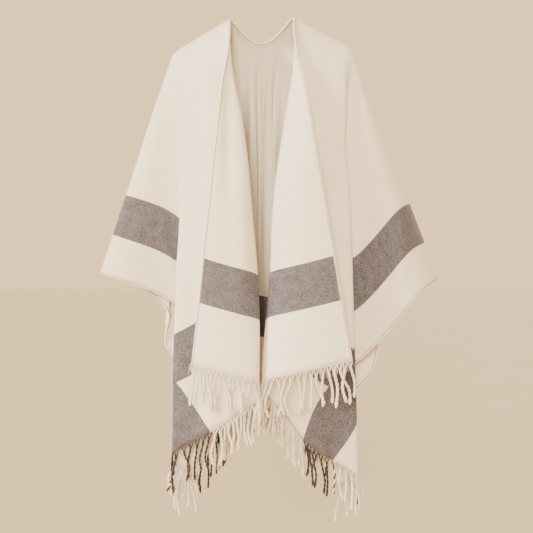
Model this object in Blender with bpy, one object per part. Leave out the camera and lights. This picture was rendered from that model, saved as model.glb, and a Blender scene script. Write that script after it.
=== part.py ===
"""An open-front fringed poncho (a ruana), hanging as it is worn.

One length of woven cloth lies across the shoulders and hangs down in front and behind. A slit
from the front hem to the neck opens it, and the two opening edges roll outwards as lapels.
The origin is the middle of the shoulder line between the two neck points. +Z is up, the front
faces -Y, and +X is on the right of someone who looks at the front.
"""
import bpy
import math
import numpy as np

MM = 0.001

# The cut of the cloth, flat
SIDE_REACH = {-1: 655 * MM, 1: 688 * MM}  # from each neck point out to its side edge
FRONT_DROP = 795 * MM  # from the shoulder line to the front hem, along the cloth
BACK_DROP = 820 * MM
NECK_HALF = 80 * MM  # half of the back neckline, along the cloth
WALL = 2.4 * MM
GAP = 0.3 * MM  # between two pieces at a seam
STRIP_GAP = 1.7 * MM  # between a hem and its fringe, whose faces twist round the folds

# The shoulders that hold it
NECK_X = {-1: -66 * MM, 1: 68 * MM}
NECK_BACK = 45 * MM  # how far behind the neck points the neckline passes
NECK_SAG = 48 * MM
SHOULDER_SLOPE = {-1: 31.0, 1: 27.0}  # degrees below level
SHOULDER_LENGTH = 132 * MM
SHOULDER_RADIUS = 35 * MM  # the bend where the shoulder turns down into the sleeve fold
SLEEVE_ANGLE = {-1: 18.4, 1: 20.4}  # degrees that each sleeve fold leans out from the vertical

MEET_X = -1 * MM  # where the lapels meet
PRESS = 8 * MM  # how softly they flatten there

# The folds open out of the shoulder line within these lengths
SWING_LENGTH = 200 * MM
LIFT_LENGTH = 120 * MM

# Fringe
STRAND_PITCH = 13 * MM
STRAND_WIDTH = 4 * MM
STRAND_LENGTH = 82 * MM
STRIP_HEIGHT = 4 * MM
TIP_SCALE = 0.55
PULL = 0.3  # how far a strand turns from the line of the cloth towards straight down
SWAY = 0.004  # how far strands differ in direction
UNEVEN = (0.88, 1.08)  # least and greatest length of a strand, as shares of its length

# How finely the walls are divided
COLUMNS_PER_ROW = 2.0
STEPS_DOWN = 13
STEP_POWER = 1.5  # above 1 sets the rows closer together near the shoulder
SMOOTHINGS = 3

# Each row is one line down the cloth, from the opening edge, or the middle of the back, out to
# the sleeve fold. The cloth is straight along such a line, and it bends between one and the next.
#   start     where the line leaves the shoulder line, in mm from the neck point
#   grain     its angle to the warp in the flat cloth, in degrees
#   near      its lean away from the middle near the shoulder, in degrees
#   lean      the same lower down, where the folds have opened
#   lift      its angle outwards from the body, in degrees
#   fullness  how far in front of or behind the shoulder line the body holds it, in mm
COLUMNS = ("start", "grain", "near", "lean", "lift", "fullness")

LEFT_FRONT = (
    (0.0, 0.0, -3.0, 5.8, 2.6, 132),  # opening edge
    (3.0, 5.0, -4.0, 3.2, 4.4, 122),
    (6.0, 11.5, -6.0, -2.2, 5.6, 110),  # middle of the lapel
    (9.0, 16.0, -8.2, -7.0, 4.6, 103),
    (11.5, 18.0, -9.4, -8.2, 3.2, 97),  # fold of the lapel
    (14.5, 20.5, -7.2, -6.8, 1.2, 93),
    (19.0, 24.5, -3.8, -3.0, 0.2, 90),
    (28.0, 28.3, -1.0, -0.3, 0.0, 88),
    (56.0, 28.3, 0.0, 0.0, 0.4, 84),
    (80.0, 28.3, 0.0, 0.2, -0.2, 76),
    (112.0, 28.3, 0.2, 0.8, 0.3, 68),
    (124.0, 28.3, 0.6, 1.3, 0.2, 62),  # outer fold of the front
    (129.0, 30.6, 1.4, 0.2, -0.8, 58),
    (133.0, 35.0, 3.0, -4.2, -1.4, 53),
    (137.0, 41.5, 4.8, -9.0, -2.0, 47),
    (141.0, 47.5, 6.0, -11.5, -2.6, 42),  # bottom of the hidden pleat
    (144.0, 51.5, 7.5, -9.5, -3.2, 38),
    (147.0, 58.0, 9.5, -5.0, -3.0, 34),
    (149.5, 66.0, 12.0, 0.0, -2.4, 28),
    (152.0, 73.0, 14.0, 4.5, -0.8, 22),
    (154.0, 80.0, 16.0, 11.5, 1.8, 15),
    (156.0, 86.0, 17.7, 17.5, 2.4, 6),
    (158.0, 90.0, 18.4, 18.4, 0.0, 0),  # sleeve fold
)
RIGHT_FRONT = (
    (0.0, 0.0, -2.4, 9.3, 2.8, 134),  # opening edge
    (3.0, 4.5, -3.6, 4.8, 4.6, 123),
    (6.0, 9.5, -5.0, -0.8, 5.6, 111),  # middle of the lapel
    (9.0, 13.0, -6.4, -5.2, 4.4, 103),
    (11.5, 15.0, -6.8, -6.5, 3.0, 97),  # fold of the lapel
    (14.5, 18.5, -5.4, -5.6, 1.2, 93),
    (19.0, 25.0, -3.0, -2.4, 0.2, 90),
    (28.0, 31.6, -0.4, -0.2, 0.0, 88),
    (56.0, 33.0, 0.0, 0.2, 0.3, 84),
    (80.0, 33.0, 0.0, 0.6, -0.2, 76),
    (112.0, 33.5, 0.2, 1.4, 0.2, 68),
    (124.0, 34.2, 0.6, 1.9, 0.2, 62),  # outer fold of the front
    (129.0, 35.2, 1.4, 1.2, -0.8, 57),
    (133.0, 37.2, 3.0, -3.0, -1.8, 51),
    (137.0, 40.0, 5.0, -8.6, -2.3, 45),
    (140.0, 43.0, 6.4, -10.5, -3.0, 41),  # bottom of the hidden pleat
    (143.0, 46.2, 8.2, -7.0, -2.4, 37),
    (146.0, 50.2, 10.4, 0.2, 0.4, 32),
    (148.5, 57.5, 13.0, 6.0, 3.6, 26),
    (151.0, 66.0, 15.6, 10.8, 5.6, 19),  # the sleeve bulges forwards
    (153.5, 75.5, 18.0, 14.9, 5.4, 12),
    (156.0, 84.0, 19.8, 18.6, 3.0, 5),
    (158.0, 90.0, 20.4, 20.4, 0.0, 0),  # sleeve fold
)
LEFT_BACK = (
    (-80.0, 0.0, 0.0, 0.0, 6.6, 90),  # middle of the back, on a ridge
    (-70.0, 3.0, 0.0, 0.2, 5.2, 90),
    (-56.0, 9.5, 0.0, 0.5, -1.5, 89),
    (-42.0, 13.5, 0.1, 0.7, 4.0, 88),
    (-30.0, 18.0, 0.3, 0.8, 7.2, 88),  # second ridge
    (-16.0, 22.0, 0.5, 0.8, 3.5, 87),
    (-4.0, 26.0, 0.6, 0.8, -2.0, 86),
    (12.0, 29.5, 0.6, 0.8, 2.0, 84),
    (30.0, 31.0, 0.6, 0.7, 5.4, 82),  # third ridge
    (60.0, 31.0, 0.6, 0.7, -1.0, 78),
    (88.0, 31.0, 0.6, 0.7, 2.8, 72),
    (112.0, 31.0, 0.6, 0.6, 1.4, 67),
    (124.0, 31.0, 0.8, 0.8, 0.6, 62),  # outer fold of the back
    (130.0, 33.0, 1.4, 0.4, -0.6, 58),
    (133.5, 37.5, 3.4, -5.5, -1.0, 52),
    (136.0, 42.0, 5.0, -8.0, -1.4, 48),  # bottom of the hidden pleat
    (138.5, 46.0, 6.4, -3.0, -1.6, 45),
    (141.0, 50.0, 7.6, 2.4, -1.2, 42),  # the side edge turns under
    (143.5, 54.0, 8.8, 2.2, -1.6, 37),
    (146.5, 60.0, 10.6, 1.0, -2.0, 31),
    (149.5, 67.0, 12.6, 3.4, -1.3, 25),
    (152.5, 76.0, 15.0, 8.4, 1.6, 19),
    (156.0, 86.0, 17.7, 17.6, 2.8, 7),
    (158.0, 90.0, 18.4, 18.4, 0.0, 0),  # sleeve fold
)
RIGHT_BACK = (
    (-80.0, 0.0, 0.0, 0.0, 6.6, 90),  # middle of the back, on a ridge
    (-69.0, 2.6, 0.0, 0.3, 5.0, 90),
    (-54.0, 8.0, 0.0, 0.6, -1.8, 89),
    (-40.0, 12.0, 0.1, 0.9, 3.0, 88),
    (-26.0, 16.0, 0.3, 1.1, 7.0, 88),  # second ridge
    (-12.0, 20.0, 0.5, 1.2, 3.5, 87),
    (2.0, 23.5, 0.6, 1.3, 0.2, 86),
    (18.0, 26.5, 0.6, 1.4, 3.0, 84),
    (36.0, 28.5, 0.6, 1.5, 5.6, 82),  # third ridge
    (64.0, 29.0, 0.6, 1.5, -0.8, 78),
    (90.0, 29.0, 0.7, 1.6, 2.8, 72),
    (112.0, 29.0, 0.8, 1.8, 1.4, 67),
    (124.0, 29.0, 1.2, 2.2, 0.6, 62),  # outer fold of the back
    (129.0, 31.5, 2.0, 2.0, -0.6, 58),
    (132.5, 36.0, 3.8, -3.0, -1.0, 52),
    (135.0, 40.0, 5.2, -5.0, -1.4, 48),  # bottom of the hidden pleat
    (138.0, 44.5, 6.8, 0.4, -2.0, 44),
    (140.5, 48.5, 8.2, 4.4, -1.8, 41),  # the side edge turns under
    (143.0, 53.0, 9.8, 5.4, -1.6, 38),
    (146.0, 59.0, 11.6, 6.0, -1.0, 33),
    (149.5, 67.0, 14.0, 9.4, -0.4, 27),
    (152.5, 76.0, 16.8, 13.8, 1.6, 19),
    (156.0, 86.0, 19.7, 19.0, 2.8, 7),
    (158.0, 90.0, 20.4, 20.4, 0.0, 0),  # sleeve fold
)
LEFT, RIGHT = -1, 1
FRONT, BACK = -1, 1
FOLD_TABLES = {
    (LEFT, FRONT): LEFT_FRONT,
    (RIGHT, FRONT): RIGHT_FRONT,
    (LEFT, BACK): LEFT_BACK,
    (RIGHT, BACK): RIGHT_BACK,
}
DROP = {FRONT: FRONT_DROP, BACK: BACK_DROP}


def clear_scene():
    """Remove the objects that the file opens with."""
    for old in list(bpy.data.objects):
        bpy.data.objects.remove(old, do_unlink=True)


def ease(t):
    """A smooth step from 0 to 1, level at both ends."""
    t = np.clip(t, 0.0, 1.0)
    return t * t * (3.0 - 2.0 * t)


def smooth_rows(rows):
    """Cut the corners of the row table a few times, which rounds each fold."""
    rows = np.array(rows, float)
    for _ in range(SMOOTHINGS):
        first = rows[:-1] * 0.75 + rows[1:] * 0.25
        second = rows[:-1] * 0.25 + rows[1:] * 0.75
        middle = np.stack([first, second], axis=1).reshape(-1, rows.shape[1])
        rows = np.vstack([rows[:1], middle, rows[-1:]])
    return rows


def shoulder_point(side, start):
    """Points on the shoulder line: a straight slope, a bend, then the sleeve fold.

    Below 0, start runs back along the neckline, a quarter of a sine wave back and down.
    """
    slope = math.radians(SHOULDER_SLOPE[side])
    steep = math.radians(90.0 - SLEEVE_ANGLE[side])
    bend = SHOULDER_RADIUS * (steep - slope)
    flat = np.clip(start, 0.0, SHOULDER_LENGTH)
    turn = slope + np.clip(start - SHOULDER_LENGTH, 0.0, bend) / SHOULDER_RADIUS
    past = np.maximum(start - SHOULDER_LENGTH - bend, 0.0)
    out = flat * math.cos(slope) + SHOULDER_RADIUS * (np.sin(turn) - math.sin(slope))
    out = out + past * math.cos(steep)
    down = flat * math.sin(slope) + SHOULDER_RADIUS * (math.cos(slope) - np.cos(turn))
    down = down + past * math.sin(steep)
    round_neck = np.clip(-start / NECK_HALF, 0.0, 1.0)
    dip = np.sin(round_neck * math.pi / 2)
    x = NECK_X[side] * (1.0 - round_neck) + side * out
    return np.stack([x, NECK_BACK * dip, -down - NECK_SAG * dip], axis=-1)


def fold_lines(side, face, position):
    """The table's columns, as a dictionary, at positions from 0 to 1 across one panel."""
    rows = smooth_rows(FOLD_TABLES[(side, face)])
    index = np.linspace(0.0, 1.0, len(rows))
    line = {name: np.interp(position, index, rows[:, k]) for k, name in enumerate(COLUMNS)}
    for name in ("start", "fullness"):
        line[name] = line[name] * MM
    for name in ("grain", "near", "lean", "lift"):
        line[name] = np.radians(line[name])
    return line


def line_ends(side, face, line):
    """Where each line meets the hem or the side edge: across and down, in the flat cloth."""
    level = math.pi / 2 - 0.001
    across = line["start"] + DROP[face] * np.tan(np.minimum(line["grain"], level))
    on_hem = across < SIDE_REACH[side]
    over = SIDE_REACH[side] - line["start"]
    edge = over / np.tan(np.clip(line["grain"], 0.001, level))
    edge = np.where(line["grain"] > level, 0.0, edge)
    return np.where(on_hem, across, SIDE_REACH[side]), np.where(on_hem, DROP[face], edge)


def press_apart(side, x):
    """Flatten what would reach past the middle, where the folds of the two lapels meet."""
    out = side * (x - MEET_X)
    return MEET_X + side * (WALL + (out + np.hypot(out, PRESS)) / 2)


def drape(side, face, position, share):
    """Points of one panel, for positions across it and shares of each line's length.

    A line leaves the shoulder level, turns down along a tractrix as deep as its fullness, and
    then runs straight at its own lean and lift. Near the shoulder those angles ease in.
    """
    line = fold_lines(side, face, position)
    end_across, end_down = line_ends(side, face, line)
    length = np.hypot(end_across - line["start"], end_down)
    run = length[:, None] * share
    full = np.maximum(line["fullness"], 0.5 * MM)[:, None]
    swing = ease(run / SWING_LENGTH)
    lean = line["near"][:, None] * (1.0 - swing) + line["lean"][:, None] * swing
    lift = line["lift"][:, None] * ease(run / LIFT_LENGTH)
    turned = np.sqrt(1.0 - np.exp(-2.0 * run / full))
    fall = run + full * (np.log1p(turned) - turned)
    top = shoulder_point(side, line["start"])[:, None, :]
    room = np.maximum(full - top[..., 1], 0.0)
    x = top[..., 0] + side * fall * np.cos(lift) * np.sin(lean)
    if face == FRONT:
        x = press_apart(side, x)
    y = top[..., 1] + face * (fall * np.sin(lift) + room * (1.0 - np.exp(-run / full)) + GAP / 2)
    z = top[..., 2] - fall * np.cos(lift) * np.cos(lean)
    return np.stack([x, y, z], axis=-1)


def hem_scale(side, face):
    """Positions across a panel from its inner edge to its corner, and their places on the hem."""
    position = np.linspace(0.0, 1.0, 4001)
    line = fold_lines(side, face, position)
    across = line["start"] + DROP[face] * np.tan(np.minimum(line["grain"], 1.5))
    corner = float(np.interp(SIDE_REACH[side], across, position))
    position = np.linspace(0.0, corner, 2001)
    return position, line_ends(side, face, fold_lines(side, face, position))[0]


def strand_cells(across):
    """The limits of the equal lengths of hem that carry one strand each."""
    count = int((across[-1] - across[0]) / STRAND_PITCH)
    return np.linspace(across[0], across[-1], count + 1)


def panel_columns(side, face):
    """Even positions across a panel. Those on the hem are moved to the limit of a strand's cell."""
    count = int(len(FOLD_TABLES[(side, face)]) * COLUMNS_PER_ROW)
    even = np.linspace(0.0, 1.0, count)
    position, across = hem_scale(side, face)
    limits = strand_cells(across)
    wanted = np.interp(even[even < position[-1]], position, across)
    nearest = np.abs(limits[:, None] - wanted).argmin(axis=0)
    on_hem = np.unique(np.append(nearest, [0, len(limits) - 1]))
    beyond = even[even > position[-1] + 0.4 / count]
    return np.append(np.interp(limits[on_hem], across, position), beyond)


def make_panel(side, face):
    """One panel, from -X to +X: its points, and the places of its columns and cells on the hem.

    A column that ends on the side edge has no place on the hem.
    """
    column = panel_columns(side, face)
    share = np.linspace(0.0, 1.0, STEPS_DOWN + 1) ** STEP_POWER
    position, across = hem_scale(side, face)
    from_middle = NECK_HALF if face == BACK else 0.0
    hem = side * (np.interp(column, position, across) + from_middle)
    hem[column > position[-1]] = np.nan
    order = np.s_[::side]
    grid = drape(side, face, column, share)[order]
    return {"grid": grid, "hem": hem[order], "cells": side * (strand_cells(across) + from_middle)[order]}


def join_panels(left, right):
    """Two panels as one, where the last column of one is the first of the other."""
    return {name: np.concatenate([left[name], right[name][1:]]) for name in left}


def unit(vectors):
    return vectors / np.linalg.norm(vectors, axis=-1, keepdims=True)


def tangents(grid, axis):
    """Directions along one axis of a grid, each midway between those of its two edges."""
    step = np.moveaxis(unit(np.diff(grid, axis=axis)), axis, 0)
    middle = np.concatenate([step[:1] * 2, step[:-1] + step[1:], step[-1:] * 2])
    return np.moveaxis(middle, 0, axis)


def add_normals(panel):
    """Unit normals of a panel's points, which point to +Y where it hangs flat.

    On the seam along the shoulders and sleeve folds, where Y is near 0, they are turned square
    to Y, so that the faces on both sides of the seam stay parallel.
    """
    grid = panel["grid"]
    normal = unit(np.cross(tangents(grid, 0), tangents(grid, 1)))
    seam = np.abs(grid[..., 1]) < GAP
    normal[seam] = unit(normal[seam] * (1.0, 0.0, 1.0))
    panel["normal"] = normal
    return panel


def add_mesh(name, points, faces, material):
    mesh = bpy.data.meshes.new(name)
    mesh.from_pydata(points.tolist(), [], [[int(n) for n in face] for face in faces])
    mesh.materials.append(material)
    mesh.shade_smooth()
    mesh.set_sharp_from_angle(angle=math.radians(50.0))
    piece = bpy.data.objects.new(name, mesh)
    bpy.context.scene.collection.objects.link(piece)


def add_wall(name, panel, material):
    """A closed wall round a panel's points, with half its thickness to each side."""
    grid, offset = panel["grid"], panel["normal"] * WALL / 2
    across, down = grid.shape[:2]
    points = np.concatenate([grid + offset, grid - offset]).reshape(-1, 3)
    rear, fore = np.arange(2 * across * down).reshape(2, across, down)
    faces = []
    for i in range(across - 1):
        for j in range(down - 1):
            faces.append([rear[i, j], rear[i + 1, j], rear[i + 1, j + 1], rear[i, j + 1]])
            faces.append([fore[i, j], fore[i, j + 1], fore[i + 1, j + 1], fore[i + 1, j]])
    for i in range(across - 1):
        faces.append([rear[i, 0], fore[i, 0], fore[i + 1, 0], rear[i + 1, 0]])
        faces.append([rear[i + 1, -1], fore[i + 1, -1], fore[i, -1], rear[i, -1]])
    for j in range(down - 1):
        faces.append([rear[0, j + 1], fore[0, j + 1], fore[0, j], rear[0, j]])
        faces.append([rear[-1, j], fore[-1, j], fore[-1, j + 1], rear[-1, j + 1]])
    add_mesh(name, points, faces, material)


def strip_places(panel):
    """Places along the hem where the strip has a section, and which begin a strand's root."""
    cells = panel["cells"]
    middle = (cells[:-1] + cells[1:]) / 2
    columns = panel["hem"][np.isfinite(panel["hem"])]
    places = np.concatenate([middle - STRAND_WIDTH / 2, middle + STRAND_WIDTH / 2, columns])
    order = np.argsort(places)
    return places[order], order < len(middle)


def along_hem(panel, values, places):
    """Values given for each column, read at places along the hem on straight lines between."""
    on_hem = np.isfinite(panel["hem"])
    columns = panel["hem"][on_hem]
    return np.stack([np.interp(places, columns, v) for v in values[on_hem].T], axis=-1)


def add_fringe(name, panel, seed, material):
    """A narrow strip along a hem, with a tapering four-sided strand from each root."""
    places, is_root = strip_places(panel)
    grid = panel["grid"]
    down = unit(along_hem(panel, unit(grid[:, -1] - grid[:, -2]), places))
    half = along_hem(panel, panel["normal"][:, -1], places) * WALL / 2
    top = along_hem(panel, grid[:, -1], places) + down * STRIP_GAP
    low = top + down * STRIP_HEIGHT
    count = len(places)
    corner = np.arange(4 * count).reshape(4, count)
    faces = [corner[::-1, 0], corner[:, -1]]
    for i in range(count - 1):
        for k in range(4):
            a, b = corner[k], corner[(k + 1) % 4]
            if k != 2 or not is_root[i]:
                faces.append([b[i], b[i + 1], a[i + 1], a[i]])
    first = np.flatnonzero(is_root)
    root = np.stack([low - half, low + half])[:, [first, first + 1]]
    root = np.stack([root[0, 0], root[0, 1], root[1, 1], root[1, 0]], axis=1)
    chance = np.random.default_rng(seed)
    fall = unit(down[first] + (0.0, 0.0, -PULL) + chance.normal(0.0, SWAY, (len(first), 3)))
    fall = fall * STRAND_LENGTH * chance.uniform(*UNEVEN, (len(first), 1))
    middle = root.mean(axis=1, keepdims=True)
    tips = middle + (root - middle) * TIP_SCALE + fall[:, None, :]
    tip_number = 4 * count + np.arange(4 * len(first)).reshape(-1, 4)
    for i, tip in zip(first, tip_number):
        start = [corner[2, i], corner[2, i + 1], corner[3, i + 1], corner[3, i]]
        for k in range(4):
            m = (k + 1) % 4
            faces.append([start[m], start[k], tip[k], tip[m]])
        faces.append(tip[::-1])
    points = np.concatenate([top + half, top - half, low - half, low + half, tips.reshape(-1, 3)])
    add_mesh(name, points, faces, material)


def cloth_material(name, colour, roughness):
    material = bpy.data.materials.new(name)
    material.use_nodes = True
    shader = material.node_tree.nodes["Principled BSDF"]
    shader.inputs["Base Color"].default_value = (*colour, 1.0)
    shader.inputs["Roughness"].default_value = roughness
    shader.inputs["Metallic"].default_value = 0.0
    return material


def build():
    clear_scene()
    brushed = cloth_material("brushed_wool_cream", (0.80, 0.74, 0.64), 0.92)
    yarn = cloth_material("twisted_wool_yarn", (0.78, 0.72, 0.62), 0.95)
    panels = {
        "left_front": make_panel(LEFT, FRONT),
        "right_front": make_panel(RIGHT, FRONT),
        "back": join_panels(make_panel(LEFT, BACK), make_panel(RIGHT, BACK)),
    }
    for seed, (name, panel) in enumerate(panels.items()):
        add_normals(panel)
        add_wall(name, panel, brushed)
        add_fringe(name + "_fringe", panel, seed, yarn)


build()
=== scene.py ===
"""Looks of an open-front fringed poncho, a ruana, that hangs as it is worn.

One length of brushed wool lies across the shoulders. It is open from the front hem to the neck,
its two opening edges roll outwards as lapels, and twisted fringe hangs from both hems.
"""

import math

import bpy
import numpy as np
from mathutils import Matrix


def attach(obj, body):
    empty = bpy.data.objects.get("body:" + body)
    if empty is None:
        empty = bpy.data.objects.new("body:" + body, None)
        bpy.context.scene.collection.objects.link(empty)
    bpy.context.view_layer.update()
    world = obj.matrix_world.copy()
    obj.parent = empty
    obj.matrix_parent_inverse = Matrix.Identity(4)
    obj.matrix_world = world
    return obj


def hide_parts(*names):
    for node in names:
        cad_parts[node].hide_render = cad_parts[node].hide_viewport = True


bl_info = {
    "name": "Fringed poncho",
    "version": (1, 0, 0),
    "blender": (4, 5, 0),
    "location": "View3D > Sidebar > Poncho",
    "description": "Cloth, edging, fringe and studio of an open-front poncho",
    "category": "Object",
}

MM = 0.001
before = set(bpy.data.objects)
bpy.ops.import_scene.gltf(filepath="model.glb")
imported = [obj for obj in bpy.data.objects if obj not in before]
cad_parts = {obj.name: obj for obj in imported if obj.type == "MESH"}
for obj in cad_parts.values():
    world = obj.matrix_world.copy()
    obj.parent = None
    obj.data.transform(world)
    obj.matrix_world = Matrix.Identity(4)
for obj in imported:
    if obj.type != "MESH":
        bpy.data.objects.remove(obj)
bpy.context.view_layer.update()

# The cut and the drape repeat the names and values of the part's source
LEFT, RIGHT = -1, 1
FRONT, BACK = -1, 1
SIDE_REACH = {LEFT: 655 * MM, RIGHT: 688 * MM}  # from each neck point out to its side edge
DROP = {FRONT: 795 * MM, BACK: 820 * MM}  # from the shoulder line to each hem, along the cloth
NECK_HALF = 80 * MM  # half of the back neckline, along the cloth
NECK_X = {LEFT: -66 * MM, RIGHT: 68 * MM}
NECK_BACK = 45 * MM
NECK_SAG = 48 * MM
SHOULDER_SLOPE = {LEFT: 31.0, RIGHT: 27.0}  # degrees below level
SHOULDER_LENGTH = 132 * MM
SHOULDER_RADIUS = 35 * MM
SLEEVE_ANGLE = {LEFT: 18.4, RIGHT: 20.4}  # degrees out from the vertical
MEET_X = -1 * MM  # where the lapels meet
PRESS = 8 * MM  # how softly they flatten there
SWING_LENGTH = 200 * MM  # how far down a line takes up its own lean
LIFT_LENGTH = 120 * MM  # and its own lift
WALL = 2.4 * MM
SIDE_INSET = 88 * MM  # from a side edge to its stripe
SIDE_BAND = 92 * MM

# The fringe
STRAND_PITCH = 13 * MM
DOWNWARDS = np.array([0.0, 0.0, -1.0])
ROOT_DEPTH = 1.5 * MM  # how far up into the hem a strand starts
SPREAD_SHARE = 0.24  # of a strand, over which its two plies come together
SPREAD_REACH = 4.4 * MM  # from the middle of a strand to each ply, at the root
PLY_OFFSET = 0.2  # from the middle of a strand to each ply lower down, in ply thicknesses
PLY_APART = 3.0 * MM  # between the warp ends of a strand's middle and of each ply
BROWN_SHARE = 0.82  # thickness of a brown strand beside a cream one
FIBRES = 9  # loose fibres of the cut hem for each strand
FIBRE_RADIUS = 0.42 * MM  # about 0.02 mm on the real one, drawn thicker so that it shows
SEED = 7

# Materials and studio
LUMP = 0.6  # a noise texture's lumps are about this far across, divided by its scale
FACTOR, FIRST, SECOND, MIXED = 0, 6, 7, 2  # a colour Mix node's inputs, and its output
STRIPE_BLUR = 0.8 * MM
# Twill lines lie at 45 degrees. Their real pitch is about 1.2 mm, too fine to show, so they are
# drawn 3.4 mm apart. This is that pitch as it counts along the warp and the weft together.
TWILL_STEP = 3.4 * MM * math.sqrt(2)
FLOOR_REACH = 60.0
FOCAL_LENGTH = 107.4  # mm, so that the photo is 1.17 m wide at the shoulders
CAMERA_X, CAMERA_Z = 0.012, -0.545

# How finely the cloth is divided
SMOOTHINGS = 4
FRONT_COLUMNS = 138
NECK_COLUMNS = 44
ROWS = 74
ROW_POWER = 1.35  # above 1 sets the rows closer together near the shoulder
FINE = 4001  # positions across a panel, to look a place up
TINY = 1e-7  # m
LEVEL = math.pi / 2 - 0.001  # the grain of a line that counts as level

# Each row is one line down the cloth, from the opening edge, or the middle of the back, out to
# the sleeve fold: where it leaves the shoulder line (mm), its angle to the warp, its lean near
# the shoulder and lower down, its lift (degrees), and its fullness (mm)
COLUMNS = ("start", "grain", "near", "lean", "lift", "fullness")
LEFT_FRONT = (
    (0.0, 0.0, -3.0, 5.8, 2.6, 132),  # opening edge
    (3.0, 5.0, -4.0, 3.2, 4.4, 122),
    (6.0, 11.5, -6.0, -2.2, 5.6, 110),  # middle of the lapel
    (9.0, 16.0, -8.2, -7.0, 4.6, 103),
    (11.5, 18.0, -9.4, -8.2, 3.2, 97),  # fold of the lapel
    (14.5, 20.5, -7.2, -6.8, 1.2, 93),
    (19.0, 24.5, -3.8, -3.0, 0.2, 90),
    (28.0, 28.3, -1.0, -0.3, 0.0, 88),
    (56.0, 28.3, 0.0, 0.0, 0.4, 84),
    (80.0, 28.3, 0.0, 0.2, -0.2, 76),
    (112.0, 28.3, 0.2, 0.8, 0.3, 68),
    (124.0, 28.3, 0.6, 1.3, 0.2, 62),  # outer fold of the front
    (129.0, 30.6, 1.4, 0.2, -0.8, 58),
    (133.0, 35.0, 3.0, -4.2, -1.4, 53),
    (137.0, 41.5, 4.8, -9.0, -2.0, 47),
    (141.0, 47.5, 6.0, -11.5, -2.6, 42),  # bottom of the hidden pleat
    (144.0, 51.5, 7.5, -9.5, -3.2, 38),
    (147.0, 58.0, 9.5, -5.0, -3.0, 34),
    (149.5, 66.0, 12.0, 0.0, -2.4, 28),
    (152.0, 73.0, 14.0, 4.5, -0.8, 22),
    (154.0, 80.0, 16.0, 11.5, 1.8, 15),
    (156.0, 86.0, 17.7, 17.5, 2.4, 6),
    (158.0, 90.0, 18.4, 18.4, 0.0, 0),  # sleeve fold
)
RIGHT_FRONT = (
    (0.0, 0.0, -2.4, 9.3, 2.8, 134),  # opening edge
    (3.0, 4.5, -3.6, 4.8, 4.6, 123),
    (6.0, 9.5, -5.0, -0.8, 5.6, 111),  # middle of the lapel
    (9.0, 13.0, -6.4, -5.2, 4.4, 103),
    (11.5, 15.0, -6.8, -6.5, 3.0, 97),  # fold of the lapel
    (14.5, 18.5, -5.4, -5.6, 1.2, 93),
    (19.0, 25.0, -3.0, -2.4, 0.2, 90),
    (28.0, 31.6, -0.4, -0.2, 0.0, 88),
    (56.0, 33.0, 0.0, 0.2, 0.3, 84),
    (80.0, 33.0, 0.0, 0.6, -0.2, 76),
    (112.0, 33.5, 0.2, 1.4, 0.2, 68),
    (124.0, 34.2, 0.6, 1.9, 0.2, 62),  # outer fold of the front
    (129.0, 35.2, 1.4, 1.2, -0.8, 57),
    (133.0, 37.2, 3.0, -3.0, -1.8, 51),
    (137.0, 40.0, 5.0, -8.6, -2.3, 45),
    (140.0, 43.0, 6.4, -10.5, -3.0, 41),  # bottom of the hidden pleat
    (143.0, 46.2, 8.2, -7.0, -2.4, 37),
    (146.0, 50.2, 10.4, 0.2, 0.4, 32),
    (148.5, 57.5, 13.0, 6.0, 3.6, 26),
    (151.0, 66.0, 15.6, 10.8, 5.6, 19),  # the sleeve bulges forwards
    (153.5, 75.5, 18.0, 14.9, 5.4, 12),
    (156.0, 84.0, 19.8, 18.6, 3.0, 5),
    (158.0, 90.0, 20.4, 20.4, 0.0, 0),  # sleeve fold
)
LEFT_BACK = (
    (-80.0, 0.0, 0.0, 0.0, 6.6, 90),  # middle of the back, on a ridge
    (-70.0, 3.0, 0.0, 0.2, 5.2, 90),
    (-56.0, 9.5, 0.0, 0.5, -1.5, 89),
    (-42.0, 13.5, 0.1, 0.7, 4.0, 88),
    (-30.0, 18.0, 0.3, 0.8, 7.2, 88),  # second ridge
    (-16.0, 22.0, 0.5, 0.8, 3.5, 87),
    (-4.0, 26.0, 0.6, 0.8, -2.0, 86),
    (12.0, 29.5, 0.6, 0.8, 2.0, 84),
    (30.0, 31.0, 0.6, 0.7, 5.4, 82),  # third ridge
    (60.0, 31.0, 0.6, 0.7, -1.0, 78),
    (88.0, 31.0, 0.6, 0.7, 2.8, 72),
    (112.0, 31.0, 0.6, 0.6, 1.4, 67),
    (124.0, 31.0, 0.8, 0.8, 0.6, 62),  # outer fold of the back
    (130.0, 33.0, 1.4, 0.4, -0.6, 58),
    (133.5, 37.5, 3.4, -5.5, -1.0, 52),
    (136.0, 42.0, 5.0, -8.0, -1.4, 48),  # bottom of the hidden pleat
    (138.5, 46.0, 6.4, -3.0, -1.6, 45),
    (141.0, 50.0, 7.6, 2.4, -1.2, 42),  # the side edge turns under
    (143.5, 54.0, 8.8, 2.2, -1.6, 37),
    (146.5, 60.0, 10.6, 1.0, -2.0, 31),
    (149.5, 67.0, 12.6, 3.4, -1.3, 25),
    (152.5, 76.0, 15.0, 8.4, 1.6, 19),
    (156.0, 86.0, 17.7, 17.6, 2.8, 7),
    (158.0, 90.0, 18.4, 18.4, 0.0, 0),  # sleeve fold
)
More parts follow.
